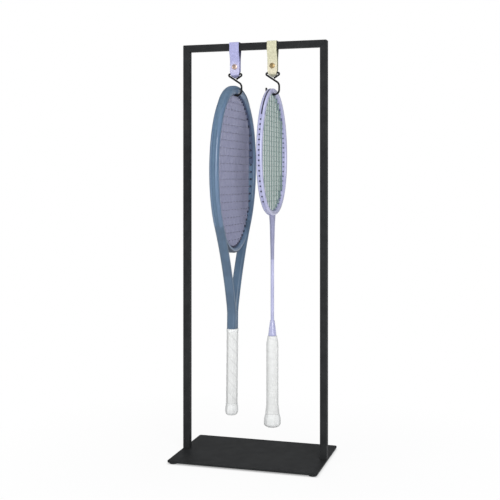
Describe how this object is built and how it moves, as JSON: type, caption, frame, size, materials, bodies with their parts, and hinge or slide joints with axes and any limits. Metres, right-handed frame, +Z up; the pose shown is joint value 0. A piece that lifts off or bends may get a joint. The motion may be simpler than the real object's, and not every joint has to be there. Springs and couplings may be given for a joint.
{
  "type": "racket display stand",
  "caption": "Flat-based square-tube frame stand that hangs a tennis racket and a badminton racket from leather straps with wire hooks.",
  "frame": {"origin": "on the table under the middle of the base plate", "axes": "+Z up, +X along the top bar to the viewer's right, +Y from the front to the back"},
  "size_m": [0.3, 0.26, 0.8343],
  "materials": {
    "frame_coat": "fine matt black powder coat",
    "zinc_steel": "zinc plated",
    "foot_rubber": "matt",
    "lavender_leather": "smooth dyed leather",
    "cream_leather": "smooth dyed leather",
    "rose_gold_snap": "polished plating",
    "antique_brass_snap": "aged plating",
    "hook_wire": "satin black coated wire",
    "tennis_paint": "satin paint on fibre composite",
    "guard_plastic": "satin moulded plastic",
    "tennis_string": "smooth string",
    "handle_foam": "moulded foam",
    "white_grip": "smooth wrapped grip tape",
    "white_rubber": "matt moulded",
    "badminton_paint": "gloss paint on fibre composite",
    "badminton_string": "smooth string",
    "handle_wood": "bare light wood"
  },
  "bodies": {
    "stand": {"base_plate": "frame_coat", "left_post": "frame_coat", "right_post": "frame_coat", "top_bar": "frame_coat", "left_post_plug": "zinc_steel", "right_post_plug": "zinc_steel", "left_base_screw": "zinc_steel", "right_base_screw": "zinc_steel", "front_left_foot": "foot_rubber", "front_right_foot": "foot_rubber", "rear_left_foot": "foot_rubber", "rear_right_foot": "foot_rubber"},
    "left_hanger": {"left_strap": "lavender_leather", "left_snap_cap": "rose_gold_snap", "left_snap_socket": "rose_gold_snap", "left_snap_stud": "rose_gold_snap", "left_snap_post": "rose_gold_snap"},
    "right_hanger": {"right_strap": "cream_leather", "right_snap_cap": "antique_brass_snap", "right_snap_socket": "antique_brass_snap", "right_snap_stud": "antique_brass_snap", "right_snap_post": "antique_brass_snap"},
    "left_wire_hook": {"left_hook": "hook_wire"},
    "right_wire_hook": {"right_hook": "hook_wire"},
    "tennis_racket": {"tennis_frame": "tennis_paint", "tennis_bumper_guard": "guard_plastic", "tennis_main_strings": "tennis_string", "tennis_cross_strings": "tennis_string", "tennis_handle_pallet": "handle_foam", "tennis_grip": "white_grip", "tennis_grip_collar": "white_rubber", "tennis_butt_cap": "white_rubber"},
    "badminton_racket": {"badminton_frame": "badminton_paint", "badminton_main_strings": "badminton_string", "badminton_cross_strings": "badminton_string", "badminton_shaft": "badminton_paint", "badminton_cone": "badminton_paint", "badminton_handle_core": "handle_wood", "badminton_grip": "white_grip", "badminton_butt_cap": "white_rubber"}
  },
  "joints": [
    {"name": "left_strap_slide", "type": "slide", "parent": "stand", "child": "left_hanger", "axis": [1, 0, 0], "range_m": [-0.072, 0.02]},
    {"name": "right_strap_slide", "type": "slide", "parent": "stand", "child": "right_hanger", "axis": [1, 0, 0], "range_m": [-0.02, 0.075]},
    {"name": "left_hook_swing", "type": "hinge", "parent": "left_hanger", "child": "left_wire_hook", "pos_m": [-0.04, 0, 0.7705], "axis": [1, 0, 0], "range_deg": [-30, 30]},
    {"name": "right_hook_swing", "type": "hinge", "parent": "right_hanger", "child": "right_wire_hook", "pos_m": [0.0385, 0, 0.7705], "axis": [1, 0, 0], "range_deg": [-30, 30]},
    {"name": "tennis_racket_swing", "type": "hinge", "parent": "left_wire_hook", "child": "tennis_racket", "pos_m": [-0.041, 0, 0.7272], "axis": [1, 0, 0], "range_deg": [-20, 20]},
    {"name": "badminton_racket_swing", "type": "hinge", "parent": "right_wire_hook", "child": "badminton_racket", "pos_m": [0.0377, 0, 0.7272], "axis": [1, 0, 0], "range_deg": [-20, 20]}
  ]
}
